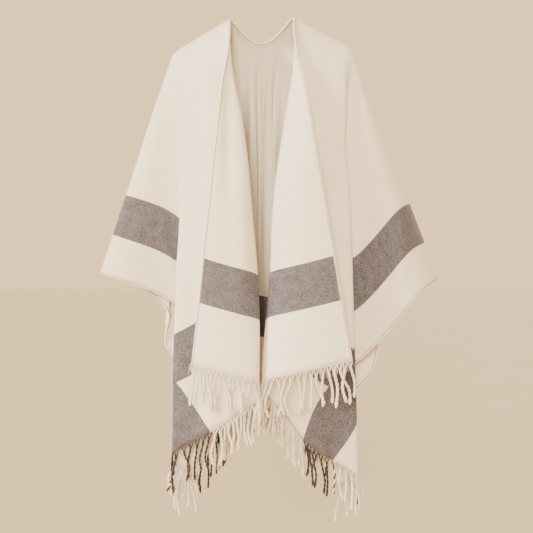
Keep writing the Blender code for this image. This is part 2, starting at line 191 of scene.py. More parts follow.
RIGHT_BACK = (
    (-80.0, 0.0, 0.0, 0.0, 6.6, 90),  # middle of the back, on a ridge
    (-69.0, 2.6, 0.0, 0.3, 5.0, 90),
    (-54.0, 8.0, 0.0, 0.6, -1.8, 89),
    (-40.0, 12.0, 0.1, 0.9, 3.0, 88),
    (-26.0, 16.0, 0.3, 1.1, 7.0, 88),  # second ridge
    (-12.0, 20.0, 0.5, 1.2, 3.5, 87),
    (2.0, 23.5, 0.6, 1.3, 0.2, 86),
    (18.0, 26.5, 0.6, 1.4, 3.0, 84),
    (36.0, 28.5, 0.6, 1.5, 5.6, 82),  # third ridge
    (64.0, 29.0, 0.6, 1.5, -0.8, 78),
    (90.0, 29.0, 0.7, 1.6, 2.8, 72),
    (112.0, 29.0, 0.8, 1.8, 1.4, 67),
    (124.0, 29.0, 1.2, 2.2, 0.6, 62),  # outer fold of the back
    (129.0, 31.5, 2.0, 2.0, -0.6, 58),
    (132.5, 36.0, 3.8, -3.0, -1.0, 52),
    (135.0, 40.0, 5.2, -5.0, -1.4, 48),  # bottom of the hidden pleat
    (138.0, 44.5, 6.8, 0.4, -2.0, 44),
    (140.5, 48.5, 8.2, 4.4, -1.8, 41),  # the side edge turns under
    (143.0, 53.0, 9.8, 5.4, -1.6, 38),
    (146.0, 59.0, 11.6, 6.0, -1.0, 33),
    (149.5, 67.0, 14.0, 9.4, -0.4, 27),
    (152.5, 76.0, 16.8, 13.8, 1.6, 19),
    (156.0, 86.0, 19.7, 19.0, 2.8, 7),
    (158.0, 90.0, 20.4, 20.4, 0.0, 0),  # sleeve fold
)
FOLD_TABLES = {
    (LEFT, FRONT): LEFT_FRONT,
    (RIGHT, FRONT): RIGHT_FRONT,
    (LEFT, BACK): LEFT_BACK,
    (RIGHT, BACK): RIGHT_BACK,
}

# Soft creases that the folds leave out. Each is a straight line in the flat cut, in mm: along
# the width from the middle of the cloth, and down from the shoulder line, minus behind. Height
# above 0 is a ridge and below 0 a trough, seen from outside, so the inside shows the reverse.
CREASE_COLUMNS = ("across", "down", "across_end", "down_end", "width", "height")
CREASES = (
    (100, 60, 150, 420, 26, 5.0),
    (146, 30, 230, 640, 24, -9.0),
    (190, 60, 320, 560, 16, 6.0),
    (-104, 80, -160, 460, 24, 5.0),
    (-142, 60, -236, 680, 24, -8.0),
    (-184, 50, -300, 600, 16, 6.0),
    (300, 40, 440, 520, 26, -8.0),
    (-310, 60, -440, 480, 26, -8.0),
    (560, 60, 740, 210, 20, 3.0),
    (-540, 70, -720, 240, 18, 2.8),
    (500, 150, 690, 420, 16, -2.6),
    (-490, 140, -680, 400, 16, -2.6),
    (-10, -10, -9, -700, 11, 13.0),  # the thin valleys that show between the lapels
    (12, -10, 14, -700, 14, -7.0),
    (34, -20, 38, -660, 12, -7.0),
    (57, -20, 64, -660, 12, 12.0),
    (-42, -20, -66, -640, 16, -5.0),
    (120, -90, 180, -640, 24, 2.0),
    (-110, -80, -190, -600, 22, 2.2),
    (300, -60, 420, -560, 24, -2.0),
    (-310, -70, -430, -540, 24, -2.0),
    (560, -70, 720, -260, 20, 2.0),
    (-560, -60, -700, -280, 20, 2.0),
)


def ease(t):
    """A smooth step from 0 to 1, level at both ends: 3 t squared minus 2 t cubed."""
    t = np.clip(t, 0.0, 1.0)
    return t * t * (3.0 - 2.0 * t)


def unit(vectors):
    """Each vector divided by its own length."""
    return vectors / np.maximum(np.linalg.norm(vectors, axis=-1, keepdims=True), 1e-12)


def smooth_rows(rows):
    """Chaikin's corner cutting: each stretch keeps its points at a quarter and three quarters."""
    rows = np.array(rows, float)
    for _ in range(SMOOTHINGS):
        first = rows[:-1] * 0.75 + rows[1:] * 0.25
        second = rows[:-1] * 0.25 + rows[1:] * 0.75
        middle = np.stack([first, second], axis=1).reshape(-1, rows.shape[1])
        rows = np.vstack([rows[:1], middle, rows[-1:]])
    return rows


def shoulder_point(side, start):
    """The shoulder line: a straight slope, an arc, then the straight sleeve fold.

    Below 0, start runs back along the neckline, a quarter of a sine wave back and down.
    """
    slope = math.radians(SHOULDER_SLOPE[side])
    steep = math.radians(90.0 - SLEEVE_ANGLE[side])
    bend = SHOULDER_RADIUS * (steep - slope)
    flat = np.clip(start, 0.0, SHOULDER_LENGTH)
    turn = slope + np.clip(start - SHOULDER_LENGTH, 0.0, bend) / SHOULDER_RADIUS
    past = np.maximum(start - SHOULDER_LENGTH - bend, 0.0)
    out = flat * math.cos(slope) + SHOULDER_RADIUS * (np.sin(turn) - math.sin(slope))
    out = out + past * math.cos(steep)
    down = flat * math.sin(slope) + SHOULDER_RADIUS * (math.cos(slope) - np.cos(turn))
    down = down + past * math.sin(steep)
    round_neck = np.clip(-start / NECK_HALF, 0.0, 1.0)
    dip = np.sin(round_neck * math.pi / 2)
    x = NECK_X[side] * (1.0 - round_neck) + side * out
    return np.stack([x, NECK_BACK * dip, -down - NECK_SAG * dip], axis=-1)


def fold_lines(side, face, position):
    """The table's columns, in metres and radians, at positions from 0 to 1 across one panel."""
    rows = smooth_rows(FOLD_TABLES[side, face])
    index = np.linspace(0.0, 1.0, len(rows))
    line = {name: np.interp(position, index, rows[:, k]) for k, name in enumerate(COLUMNS)}
    for name in ("start", "fullness"):
        line[name] = line[name] * MM
    for name in ("grain", "near", "lean", "lift"):
        line[name] = np.radians(line[name])
    return line


def line_ends(side, face, line):
    """Where each line meets the hem or the side edge: across and down, in the flat cloth."""
    across = line["start"] + DROP[face] * np.tan(np.minimum(line["grain"], LEVEL))
    on_hem = across <= SIDE_REACH[side] + 1e-9
    over = SIDE_REACH[side] - line["start"]
    edge = over / np.tan(np.clip(line["grain"], 0.001, LEVEL))
    edge = np.where(line["grain"] > LEVEL, 0.0, edge)
    return np.where(on_hem, across, SIDE_REACH[side]), np.where(on_hem, DROP[face], edge)


def press_apart(side, x):
    """Flatten what would reach past the middle: half of out plus the root of out² and press²."""
    out = side * (x - MEET_X)
    return MEET_X + side * (WALL + (out + np.hypot(out, PRESS)) / 2)


def drape(side, face, position, share):
    """Points of one panel and their places in the flat cut, for positions across and shares down.

    A line leaves the shoulder level, turns down along a tractrix as deep as its fullness, and
    then runs straight at its own lean and lift. Near the shoulder those angles ease in.
    """
    line = fold_lines(side, face, position)
    end_across, end_down = line_ends(side, face, line)
    run = np.hypot(end_across - line["start"], end_down)[:, None] * share
    full = np.maximum(line["fullness"], 0.5 * MM)[:, None]
    swing = ease(run / SWING_LENGTH)
    lean = line["near"][:, None] * (1.0 - swing) + line["lean"][:, None] * swing
    lift = line["lift"][:, None] * ease(run / LIFT_LENGTH)
    turned = np.sqrt(1.0 - np.exp(-2.0 * run / full))
    fall = run + full * (np.log1p(turned) - turned)
    top = shoulder_point(side, line["start"])[:, None, :]
    room = np.maximum(full - top[..., 1], 0.0)
    x = top[..., 0] + side * fall * np.cos(lift) * np.sin(lean)
    if face == FRONT:
        x = press_apart(side, x)
    y = top[..., 1] + face * (fall * np.sin(lift) + room * (1.0 - np.exp(-run / full)))
    z = top[..., 2] - fall * np.cos(lift) * np.cos(lean)
    across = line["start"][:, None] * (1.0 - share) + end_across[:, None] * share
    down = end_down[:, None] * share
    cut = np.stack([side * (across + NECK_HALF), -face * down], axis=-1)
    return np.stack([x, y, z], axis=-1), cut


def corner_position(side, face):
    """The position across a panel of the line that ends at the corner of its hem."""
    position = np.linspace(0.0, 1.0, FINE)
    line = fold_lines(side, face, position)
    across = line["start"] + DROP[face] * np.tan(np.minimum(line["grain"], LEVEL))
    return float(np.interp(SIDE_REACH[side], across, position))


def shared_columns(side):
    """Positions across the front and the back of one side whose lines start at the same points,
    and which of those lines end on the hem. The back also has its neckline's own."""
    fine = np.linspace(0.0, 1.0, FINE)
    starts = {face: fold_lines(side, face, fine)["start"] for face in (FRONT, BACK)}
    corners = {face: corner_position(side, face) for face in (FRONT, BACK)}
    corner_starts = [np.interp(corners[face], fine, starts[face]) for face in (FRONT, BACK)]
    even = np.interp(np.linspace(0.0, 1.0, FRONT_COLUMNS), fine, starts[FRONT])
    even = even[np.abs(even[:, None] - corner_starts).min(axis=1) > 0.05 * MM]
    start = np.unique(np.concatenate([even, corner_starts]))
    front = np.interp(start, starts[FRONT], fine)
    back = np.interp(start, starts[BACK], fine)
    neck = np.linspace(0.0, back[0], NECK_COLUMNS + 1)[:-1]
    position = {FRONT: front, BACK: np.append(neck, back)}
    on_hem = {face: position[face] <= corners[face] + 1e-6 for face in (FRONT, BACK)}
    return position, on_hem


def crease_height(cut):
    """The sum of the creases: each is a bell curve across its line, faded in and out over the
    first and the last 0.3 of it."""
    height = np.zeros(len(cut))
    fading = 0.3
    for row in CREASES:
        crease = dict(zip(CREASE_COLUMNS, np.array(row) * MM))
        first = np.array([crease["across"], crease["down"]])
        along = np.array([crease["across_end"], crease["down_end"]]) - first
        length = np.hypot(*along)
        share = (cut - first) @ along / length**2
        off = np.abs((cut - first) @ np.array([-along[1], along[0]])) / length
        fade = ease(share / fading) * ease((1.0 - share) / fading)
        height += crease["height"] * fade * np.exp(-(off / crease["width"]) ** 2)
    return height


def unevenness(cut):
    """Three long sine waves at angles to each other: the hand of a soft cloth, 1 mm deep."""
    u, v = cut[:, 0], cut[:, 1]
    waves = np.sin(u / 0.034 + 2.0 * np.sin(v / 0.11)) + np.sin(v / 0.047 + u / 0.09)
    return 0.45 * MM * (waves + np.sin((u - v) / 0.061 + 1.3))


def vertex_normals(points, faces):
    """The mean of the normals of the four-sided faces round each point, weighted by area."""
    a, b, c, d = (points[faces[:, k]] for k in range(4))
    crossed = np.cross(c - a, d - b)
    total = np.zeros_like(points)
    for k in range(4):
        np.add.at(total, faces[:, k], crossed)
    return unit(total)


def cloth_surface():
    """The whole cloth as one surface of four panels, whose shared lines are the same points.

    Fronts and back meet along the shoulders and the sleeve folds, and the two halves of the
    back in the middle. Normals point towards the wearer.
    """
    share = np.linspace(0.0, 1.0, ROWS + 1) ** ROW_POWER
    points, cuts, index, hems, count = [], [], {}, {}, 0
    for side in (LEFT, RIGHT):
        position, on_hem = shared_columns(side)
        for face in (BACK, FRONT):
            grid, cut = drape(side, face, position[face], share)
            number = count + np.arange(grid.shape[0] * grid.shape[1]).reshape(grid.shape[:2])
            count += number.size
            points.append(grid.reshape(-1, 3))
            cuts.append(cut.reshape(-1, 2))
            index[side, face] = number
            hems[side, face] = np.flatnonzero(on_hem[face])
    points, cuts = np.concatenate(points), np.concatenate(cuts)
    index[RIGHT, BACK][0] = index[LEFT, BACK][0]
    for side in (LEFT, RIGHT):
        front, back = index[side, FRONT], index[side, BACK]
        points[back[-1], 1] = 0.0
        front[:, 0] = back[NECK_COLUMNS:, 0]
        front[-1] = back[-1]
    faces = []
    for (side, face), number in index.items():
        near, far = number[:-1], number[1:]
        quad = np.stack([near[:, :-1], far[:, :-1], far[:, 1:], near[:, 1:]], axis=-1)
        quad = quad.reshape(-1, 4)
        faces.append(quad if side * face == -1 else quad[:, ::-1])
    faces = np.concatenate(faces)
    normal = vertex_normals(points, faces)
    points = points - normal * (crease_height(cuts) + unevenness(cuts))[:, None]
    normal = vertex_normals(points, faces)
    return {
        "points": points, "cut": cuts, "faces": faces, "normal": normal,
        "index": index, "hems": hems,
    }


def set_vertex_attribute(mesh, name, values):
    """One number for each vertex, under that name."""
    mesh.attributes.new(name, "FLOAT", "POINT").data.foreach_set("value", values.astype(np.float32))


def make_piece(name, points, faces, material, attributes=None, uv=None):
    """A smooth mesh object of four-sided faces at the origin, with its material. It replaces an
    older one of its name, and points that no face uses are left out."""
    used, faces = np.unique(faces, return_inverse=True)
    faces = faces.reshape(-1, 4)
    points = points[used]
    mesh = bpy.data.meshes.new(name)
    mesh.vertices.add(len(points))
    mesh.vertices.foreach_set("co", points.astype(np.float32).ravel())
    mesh.loops.add(faces.size)
    mesh.loops.foreach_set("vertex_index", faces.ravel().astype(np.int32))
    mesh.polygons.add(len(faces))
    mesh.polygons.foreach_set("loop_start", np.arange(0, faces.size, 4, dtype=np.int32))
    mesh.update(calc_edges=True)
    for key, values in (attributes or {}).items():
        set_vertex_attribute(mesh, key, values[used])
    if uv is not None:
        layer = mesh.uv_layers.new(name="cut")
        layer.data.foreach_set("uv", uv[used][faces.ravel()].astype(np.float32).ravel())
    mesh.materials.append(material)
    mesh.shade_smooth()
    if mesh.validate():
        raise RuntimeError(f"the mesh of {name} was not sound")
    old = bpy.data.objects.get(name)
    if old:
        bpy.data.objects.remove(old, do_unlink=True)
    piece = bpy.data.objects.new(name, mesh)
    bpy.context.scene.collection.objects.link(piece)
    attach(piece, "root")
    return piece


def carry_profile(path, across, up, profile):
    """A profile carried along a path: point k of a ring is the path plus x of the profile times
    the across direction plus y times the up direction. path, across and up are (strands, rings, 3)
    and profile is (strands or 1, rings or 1, sides, 2)."""
    ring = path[:, :, None]
    ring = ring + profile[..., :1] * across[:, :, None] + profile[..., 1:] * up[:, :, None]
    strands, rings, sides = ring.shape[:3]
    number = np.arange(strands * rings * sides).reshape(strands, rings, sides)
    after = np.roll(number, -1, axis=2)
    quads = np.stack([number[:, :-1], after[:, :-1], after[:, 1:], number[:, 1:]], axis=-1)
    return ring.reshape(-1, 3), quads.reshape(-1, 4)


def square_to(vectors, tangent):
    """Each vector less its part along the tangent, made one long."""
    return unit(vectors - (vectors * tangent).sum(-1, keepdims=True) * tangent)


def srgb(code):
    """A hex colour as linear red, green, blue and alpha."""
    value = np.array([int(code[k:k + 2], 16) for k in (1, 3, 5)]) / 255.0
    linear = np.where(value <= 0.04045, value / 12.92, ((value + 0.055) / 1.055) ** 2.4)
    return (*linear.tolist(), 1.0)


def add_node(tree, kind, inputs=(), output=0, **settings):
    """One output of a new node of that kind with its settings. The inputs stand in order, or in a
    dictionary by name or number, and each is a value or a socket to link from."""
    made = tree.nodes.new("ShaderNode" + kind)
    for key, value in settings.items():
        setattr(made, key, value)
    for key, value in inputs.items() if isinstance(inputs, dict) else enumerate(inputs):
        if isinstance(value, bpy.types.NodeSocket):
            tree.links.new(value, made.inputs[key])
        else:
            made.inputs[key].default_value = value
    return made.outputs[output]


def new_material(name, finish):
    """An empty node material with its tree and its principled shader, which has that finish."""
    old = bpy.data.materials.get(name)
    if old:
        bpy.data.materials.remove(old)
    material = bpy.data.materials.new(name)
    material.use_nodes = True
    shader = material.node_tree.nodes["Principled BSDF"]
    for key, value in finish.items():
        shader.inputs[key].default_value = value
    return material, material.node_tree, shader


def stripe(tree, coordinate, middle, half, soft):
    """1 within half of the middle, 0 beyond, over a soft edge that is twice that wide."""
    off = add_node(tree, "Math", (coordinate, middle), operation="SUBTRACT")
    off = add_node(tree, "Math", (off,), operation="ABSOLUTE")
    limits = {"From Min": half - soft, "From Max": half + soft, "To Min": 1.0, "To Max": 0.0}
    return add_node(tree, "MapRange", {"Value": off, **limits})


def brushed_wool(cloth):
    """Brushed woollen twill with a raised nap: matt, with a soft sheen where it turns away.

    Cream all over, with painted shade between its fibres, and heathered taupe stripes of coloured
    warp and weft, whose twill lines show through the nap. The stripes follow the flat cut, through
    the piece's UV map in metres.
    """
    material, tree, shader = new_material("brushed wool twill", {
        "Roughness": 0.93, "IOR": 1.5, "Specular IOR Level": 0.25,
        "Sheen Weight": 0.22, "Sheen Roughness": 0.45, "Sheen Tint": srgb("#FFF3E0"),
    })
    place = add_node(tree, "UVMap", uv_map="cut")
    noises = []
    for size, detail, roughness in (
        (3.0 * MM, 2.0, 0.55),  # how a stripe's edge strays
        (2.6 * MM, 4.0, 0.70),  # brushed fibres
        (11.0 * MM, 3.0, 0.55),  # tufts of the nap
    ):
        lumps = {"Scale": LUMP / size, "Detail": detail, "Roughness": roughness}
        noises.append(add_node(tree, "TexNoise", {"Vector": place, **lumps}, "Fac"))
    stray, fibre, tuft = noises

    stray = add_node(tree, "Math", (stray, 2.4 * MM, -1.2 * MM), operation="MULTIPLY_ADD")
    flat = [add_node(tree, "SeparateXYZ", (place,), axis) for axis in "XY"]
    u, v = (add_node(tree, "Math", (part, stray), operation="ADD") for part in flat)
    side_ends = [side * (SIDE_REACH[side] + NECK_HALF) for side in (LEFT, RIGHT)]
    hem_ends = [-face * DROP[face] for face in (FRONT, BACK)]
    stripes = []
    for coordinate, ends, inset, width in (
        (u, side_ends, cloth.side_inset, cloth.side_band),
        (v, hem_ends, cloth.hem_inset, cloth.hem_band),
    ):
        middles = [end - math.copysign(inset + width / 2, end) for end in ends]
        pair = [stripe(tree, coordinate, middle, width / 2, STRIPE_BLUR) for middle in middles]
        stripes.append(add_node(tree, "Math", pair, operation="MAXIMUM"))
    striped = add_node(tree, "Math", stripes, operation="MAXIMUM")
    crossing = add_node(tree, "Math", stripes, operation="MULTIPLY")

    twill = add_node(tree, "Math", (u, v), operation="ADD")
    twill = add_node(tree, "Math", (twill, 2 * math.pi / TWILL_STEP), operation="MULTIPLY")
    twill = add_node(tree, "Math", (twill,), operation="SINE")

    # Dark fibres show between light ones in a stripe, in tufts, more so where two stripes cross
    clamped = {"operation": "MULTIPLY_ADD", "use_clamp": True}
    heather = add_node(tree, "Math", (fibre, 1.9, -0.8), operation="MULTIPLY_ADD")
    heather = add_node(tree, "Math", (tuft, 0.7, heather), operation="MULTIPLY_ADD")
    heather = add_node(tree, "Math", (twill, 0.16, heather), **clamped)
    deeper = add_node(tree, "Math", (crossing, 0.55), operation="MULTIPLY")
    # Painted shade: the cream turns to its shaded colour where the fibre noise is low, which is
    # also where the nap's bump sinks
    soft = add_node(tree, "Math", (fibre, 0.9, -0.1), **clamped)
    dark, light = srgb(cloth.taupe_dark), srgb(cloth.taupe_light)
    painted_shade, high = srgb(cloth.cream_painted_shade), srgb(cloth.cream)
    colour = {"data_type": "RGBA"}
    taupe = add_node(tree, "Mix", {FACTOR: heather, FIRST: dark, SECOND: light}, MIXED, **colour)
    taupe = add_node(tree, "Mix", {FACTOR: deeper, FIRST: taupe, SECOND: dark}, MIXED, **colour)
    cream = add_node(tree, "Mix", {FACTOR: soft, FIRST: painted_shade, SECOND: high}, MIXED, **colour)
    woven = add_node(tree, "Mix", {FACTOR: striped, FIRST: cream, SECOND: taupe}, MIXED, **colour)
    tree.links.new(woven, shader.inputs["Base Color"])

    nap = add_node(tree, "Math", (tuft, 0.6, fibre), operation="MULTIPLY_ADD")
    nap = add_node(tree, "Math", (twill, 0.10, nap), operation="MULTIPLY_ADD")
    bump = add_node(tree, "Bump", {"Strength": 0.55, "Distance": 0.7 * MM, "Height": nap})
    tree.links.new(bump, shader.inputs["Normal"])
    return material


def overlock_thread(edging):
    """Spun polyester overlock thread, matt: pale at the very edge, tan along the needle line."""
    material, tree, shader = new_material("overlock thread", {
        "Roughness": 0.8, "Specular IOR Level": 0.3, "Sheen Weight": 0.15,
    })
    inward = add_node(tree, "Attribute", (), "Fac", attribute_name="inward")
    place = add_node(tree, "TexCoord", (), "Object")
    noises = []
    for size in (9.0 * MM, 1.6 * MM):  # where the tan thread shows most, and its fibres
        lumps = {"Scale": LUMP / size, "Detail": 2.0, "Roughness": 0.55}
        noises.append(add_node(tree, "TexNoise", {"Vector": place, **lumps}, "Fac"))
    patch, fibre = noises
    patch = add_node(tree, "Math", (patch, 0.7, 0.5), operation="MULTIPLY_ADD")
    line = add_node(tree, "MapRange", {"Value": inward, "From Min": 0.15, "From Max": 0.6})
    line = add_node(tree, "Math", (line, patch), operation="MULTIPLY", use_clamp=True)
    ends = {FIRST: srgb(edging.thread_pale), SECOND: srgb(edging.thread_tan)}
    thread = add_node(tree, "Mix", {FACTOR: line, **ends}, MIXED, data_type="RGBA")
    tree.links.new(thread, shader.inputs["Base Color"])
    bump = add_node(tree, "Bump", {"Strength": 0.4, "Distance": 0.4 * MM, "Height": fibre})
    tree.links.new(bump, shader.inputs["Normal"])
    return material


def twisted_yarn(fringe):
    """Two-ply twisted wool yarn, matt and hairy: cream, and dark brown below the side stripes.
    Painted shade darkens it between its fibres and where a ply faces into the groove between the
    two plies.
    """
    material, tree, shader = new_material("twisted wool yarn", {
        "Roughness": 0.95, "Specular IOR Level": 0.2, "Sheen Weight": 0.3, "Sheen Roughness": 0.5,
    })
    dark = add_node(tree, "Attribute", (), "Fac", attribute_name="dark")
    painted_ply_light = add_node(tree, "Attribute", (), "Fac", attribute_name="painted_ply_light")
    place = add_node(tree, "TexCoord", (), "Object")
    lumps = {"Scale": LUMP / (2.4 * MM), "Detail": 3.0, "Roughness": 0.7}
    fibre = add_node(tree, "TexNoise", {"Vector": place, **lumps}, "Fac")
    # Painted shade: each yarn colour darkens where the fibre noise is low, which is also where the
    # bump sinks
    shades = []
    for painted_shade, high in ((fringe.cream_painted_shade, fringe.cream), (fringe.brown_painted_shade, fringe.brown)):
        ends = {FIRST: srgb(painted_shade), SECOND: srgb(high)}
        shades.append(add_node(tree, "Mix", {FACTOR: fibre, **ends}, MIXED, data_type="RGBA"))
    ends = {FIRST: shades[0], SECOND: shades[1]}
    yarn = add_node(tree, "Mix", {FACTOR: dark, **ends}, MIXED, data_type="RGBA")
    # Painted shade: a ply darkens by up to three tenths where it faces into the groove between the
    # two plies
    shade = add_node(tree, "Math", (painted_ply_light, 0.3, 0.7), operation="MULTIPLY_ADD")
    shade = add_node(tree, "CombineColor", (shade, shade, shade))
    ends = {FACTOR: 1.0, FIRST: yarn, SECOND: shade}
    yarn = add_node(tree, "Mix", ends, MIXED, data_type="RGBA", blend_type="MULTIPLY")
    tree.links.new(yarn, shader.inputs["Base Color"])
    bump = add_node(tree, "Bump", {"Strength": 0.5, "Distance": 0.5 * MM, "Height": fibre})
    tree.links.new(bump, shader.inputs["Normal"])
    return material


def edge_path(points, outward, spacing):
    """A path through points, read again at even spacing, with its outward and upward directions."""
    length = np.append(0.0, np.cumsum(np.linalg.norm(np.diff(points, axis=0), axis=1)))
    keep = np.append(True, np.diff(length) > TINY)
    points, outward, length = points[keep], outward[keep], length[keep]
    place = np.linspace(0.0, length[-1], int(length[-1] / spacing) + 1)
    path = np.stack([np.interp(place, length, c) for c in points.T], axis=-1)
    along = unit(np.gradient(path, axis=0))
    out = np.stack([np.interp(place, length, c) for c in unit(outward).T], axis=-1)
    out = square_to(out, along)
    return path, out, np.cross(along, out), place


def stitched_edge(path, out, up, place, edging):
    """An oval profile carried along an edge, with slightly flattened faces. A sine wave of the
    stitch's pitch, which slants round the profile, raises each turn of the thread."""
    sides, flatness = 10, 0.6
    angle = np.arange(sides) * 2 * math.pi / sides
    half_width, half_height = edging.width / 2, edging.wall / 2 + edging.stand
    turn = np.sin(2 * math.pi * place[:, None] / edging.pitch + angle)
    swell = edging.stitch * (0.5 + 0.5 * turn)
    x = (half_width + swell) * np.cos(angle) - half_width + edging.stand
    y = (half_height + swell) * np.sign(np.sin(angle)) * np.abs(np.sin(angle)) ** flatness
    profile = np.stack([x, y], axis=-1)[None]
    points, quads = carry_profile(path[None], out[None], up[None], profile)
    inward = np.broadcast_to(0.5 - 0.5 * np.cos(angle), turn.shape).ravel()
    return points, quads, inward


def strand_roots(surface, side, face):
    """Roots of the strands of one hem: the middles of equal lengths of it, with the directions
    down the cloth, along the hem and out of it, and how far each is from the side edge."""
    index, columns = surface["index"][side, face], surface["hems"][side, face]
    hem = surface["points"][index[columns, -1]]
    down = unit(hem - surface["points"][index[columns, -2]])
    across = np.abs(surface["cut"][index[columns, -1], 0])
    first = 0.0 if face == BACK else NECK_HALF
    last = SIDE_REACH[side] + NECK_HALF
    count = int((last - first) / STRAND_PITCH)
    place = np.linspace(first, last, 2 * count + 1)[1::2]

    def read(values):
        return np.stack([np.interp(place, across, c) for c in values.T], axis=-1)

    return {
        "root": read(hem),
        "down": unit(read(down)),
        "along": unit(read(np.gradient(hem, axis=0))),
        "normal": unit(read(surface["normal"][index[columns, -1]])),
        "edge": last - place,
    }


def below_stripe(edge, fringe):
    """1 at places that far from the side edge that lie below the side stripe, 0 at the others."""
    inner = fringe.side_inset + fringe.side_band
    return ((edge > fringe.side_inset) & (edge < inner)).astype(float)


def yarn_strands(hem, fringe, chance):
    """Two plies twisted round each other along each strand.

    A strand leaves along the cloth and bends towards straight down by a square law, with one
    slow sine bend of its own. Each ply circles its middle line once a turn, and at the root the
    two spread apart along the hem, where they are drawn out of the cloth. A ply's ring has 5
    sides. It swells near its end, and closes to a point.
    """
    count, rings, sides = len(hem["root"]), 26, 5
    root, down, along, normal = (hem[name][:, None] for name in ("root", "down", "along", "normal"))
    each = (count, 1, 1)
    t = np.linspace(0.0, 1.0, rings)[None, :, None]
    length = fringe.length * chance.uniform(0.88, 1.08, each)
    heading = unit(down + chance.normal(0.0, 0.035, (count, 3))[:, None])
    fall = chance.uniform(0.10, 0.45, each) * t * t / 2
    bend = fringe.bend * chance.uniform(0.3, 1.0, each) * np.sign(chance.uniform(-1, 1, each))
    phase = chance.uniform(0.0, 1.0, each)
    bend = bend * (np.sin(math.pi * (1.3 * t + phase)) - np.sin(math.pi * phase)) * ease(t * 1.5)
    path = root + length * (heading * (t - fall) + DOWNWARDS * fall)
    path = path + bend * along + 0.5 * bend * normal - ROOT_DEPTH * (1.0 - t) * down
    tangent = unit(np.gradient(path, axis=1))
    across = square_to(along, tangent)
    up = np.cross(tangent, across)

    spread = 1.0 - ease(t / SPREAD_SHARE)
    thick = fringe.ply / 2 * (1.0 - 0.4 * spread) * (1.0 + 0.25 * ease((t - 0.8) / 0.12))
    thick = thick * np.sqrt(np.clip((1.004 - t) / 0.05, 0.0, 1.0))
    brown = below_stripe(hem["edge"], fringe)[:, None, None]
    thick = thick * np.where(brown, BROWN_SHARE, chance.uniform(0.86, 1.1, each))
    angle = np.arange(sides) * 2 * math.pi / sides
    parts = []
    for ply in (0, 1):
        hand = 1 - 2 * ply
        turn = 2 * math.pi * (t * length / fringe.twist)
        turn = turn + chance.uniform(0, 0.6, each) + ply * math.pi
        wound = PLY_OFFSET * fringe.ply * (1.0 - spread)
        x = wound * np.cos(turn) + hand * SPREAD_REACH * spread + thick * np.cos(angle)
        y = wound * np.sin(turn) + thick * np.sin(angle)
        points, quads = carry_profile(path, across, up, np.stack([x, y], axis=-1))
        # Painted shade of the groove between the plies: 1 on a ply's outer side, 0 where it faces
        # the other ply
        painted_ply_light = 0.5 + 0.5 * np.cos(angle - turn)
        dark = below_stripe(hem["edge"] - hand * PLY_APART, fringe)
        parts.append((points, quads, painted_ply_light.ravel(), np.repeat(dark, rings * sides)))
    return parts


def frayed_fibres(hem, fringe, chance):
    """Loose fibres of the cut hem. Each leaves the hem at a random place and angle and droops by
    a square law, as a thread of 3 sides that thins to its end."""
    count, rings, sides = len(hem["root"]) * FIBRES, 5, 3
    root, down, along, normal = (
        np.repeat(hem[name], FIBRES, axis=0) for name in ("root", "down", "along", "normal")
    )
    t = np.linspace(0.0, 1.0, rings)[None, :, None]
    start = root + chance.uniform(-0.5, 0.5, (count, 1)) * STRAND_PITCH * along - 1.0 * MM * down
    start = start + chance.normal(0.0, 0.7 * MM, (count, 1)) * normal
    spread = chance.normal(0.0, 0.55, (count, 1)) * along
    spread = spread + chance.normal(0.0, 0.3, (count, 1)) * normal
    heading = unit(down + spread)[:, None]
    length = chance.uniform(7.0, 19.0, (count, 1, 1)) * MM
    path = start[:, None] + length * (heading * t + 0.35 * DOWNWARDS * t * t)
    tangent = unit(np.gradient(path, axis=1))
    across = unit(np.cross(tangent, normal[:, None]))
    angle = np.arange(sides) * 2 * math.pi / sides
    circle = np.stack([np.cos(angle), np.sin(angle)], axis=-1)
    profile = (FIBRE_RADIUS * (1.0 - 0.75 * t))[..., None] * circle
    points, quads = carry_profile(path, across, np.cross(tangent, across), profile)
    dark = np.repeat(below_stripe(hem["edge"], fringe), FIBRES * rings * sides)
    # A loose fibre gets no painted groove shade
    return points, quads, np.ones(len(points)), dark


def join_parts(parts):
    """Several sets of points, faces and attributes as one set."""
    shift = np.cumsum([0] + [len(part[0]) for part in parts[:-1]])
    points, quads, *attributes = zip(*parts)
    quads = [own + first for own, first in zip(quads, shift)]
    return [np.concatenate(arrays) for arrays in (points, quads, *attributes)]


def length_property(name, description, default):
    """A user's setting in metres, shown in the scene's unit."""
    return bpy.props.FloatProperty(
        name=name, description=description, default=default, unit="LENGTH"
    )


def strength_property(name, description, default):
    """A user's setting for how strong a light is."""
    return bpy.props.FloatProperty(name=name, description=description, default=default, min=0.0)


def colour_property(name, description, default):
    """A user's setting for a colour."""
    description += ", as an sRGB hex value"
    return bpy.props.StringProperty(name=name, description=description, default=default)


class PonchoCloth(bpy.types.PropertyGroup):
    """Sizes and colours of the woven cloth."""

    wall: length_property("Thickness", "Thickness of the cloth with its nap", WALL)
    side_inset: length_property("Side stripe inset", "From a side edge to its stripe", SIDE_INSET)
    side_band: length_property("Side stripe width", "Width of a side edge's stripe", SIDE_BAND)
    hem_inset: length_property("Hem stripe inset", "From a hem to its stripe", 130 * MM)
    hem_band: length_property("Hem stripe width", "Width of a hem's stripe", 95 * MM)
    cream: colour_property("Cream", "Brushed wool in the light", "#F1E6CF")
    # Painted shade between the nap's fibres, mixed in where the fibre noise is low
    cream_painted_shade: colour_property("Cream between fibres", "Wool between its fibres", "#DDCDAE")
    taupe_light: colour_property("Taupe light fibres", "Lightest fibres of a stripe", "#787070")
    taupe_dark: colour_property("Taupe dark fibres", "Darkest fibres of a stripe", "#342E2F")


